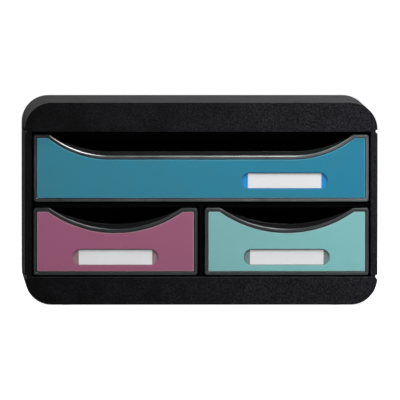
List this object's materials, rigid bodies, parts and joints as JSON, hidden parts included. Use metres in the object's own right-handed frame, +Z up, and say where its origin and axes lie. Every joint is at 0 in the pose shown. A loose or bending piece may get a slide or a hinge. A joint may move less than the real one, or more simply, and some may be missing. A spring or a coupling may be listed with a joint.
{
  "type": "desktop drawer unit",
  "caption": "Low black desktop drawer box with rounded corners: full-width drawer above half-width drawers, with coloured fronts, scooped finger cut-outs and label windows.",
  "frame": {"origin": "on the surface that the feet stand on, under the middle of the case", "axes": "+X to the right of the case as seen from the front, -Y out of the front, +Z up"},
  "size_m": [0.355, 0.27, 0.2045],
  "materials": {
    "case_black": "fine spark-eroded texture, satin sheen",
    "inner_black": "plain matt black",
    "tray_black": "smooth satin black",
    "plate_teal": "satin petrol blue",
    "plate_plum": "satin plum",
    "plate_aqua": "satin pale aqua",
    "card_white": "plain white card",
    "window_clear": "clear glossy plastic",
    "foot_rubber": "matt black rubber"
  },
  "bodies": {
    "case": {"top_cap": "case_black", "base_cap": "case_black", "left_side_panel": "case_black", "right_side_panel": "case_black", "back_panel": "case_black", "bay_floor": "inner_black", "middle_shelf": "inner_black", "centre_divider": "inner_black", "front_left_foot": "foot_rubber", "front_right_foot": "foot_rubber", "back_left_foot": "foot_rubber", "back_right_foot": "foot_rubber"},
    "wide_drawer": {"wide_drawer_tray": "tray_black", "wide_face_plate": "plate_teal", "wide_label_card": "card_white", "wide_label_window": "window_clear"},
    "left_drawer": {"left_drawer_tray": "tray_black", "left_face_plate": "plate_plum", "left_label_card": "card_white", "left_label_window": "window_clear"},
    "right_drawer": {"right_drawer_tray": "tray_black", "right_face_plate": "plate_aqua", "right_label_card": "card_white", "right_label_window": "window_clear"}
  },
  "joints": [
    {"name": "wide_drawer_slide", "type": "slide", "parent": "case", "child": "wide_drawer", "axis": [0, -1, 0], "range_m": [0, 0.19]},
    {"name": "left_drawer_slide", "type": "slide", "parent": "case", "child": "left_drawer", "axis": [0, -1, 0], "range_m": [0, 0.19]},
    {"name": "right_drawer_slide", "type": "slide", "parent": "case", "child": "right_drawer", "axis": [0, -1, 0], "range_m": [0, 0.19]}
  ]
}
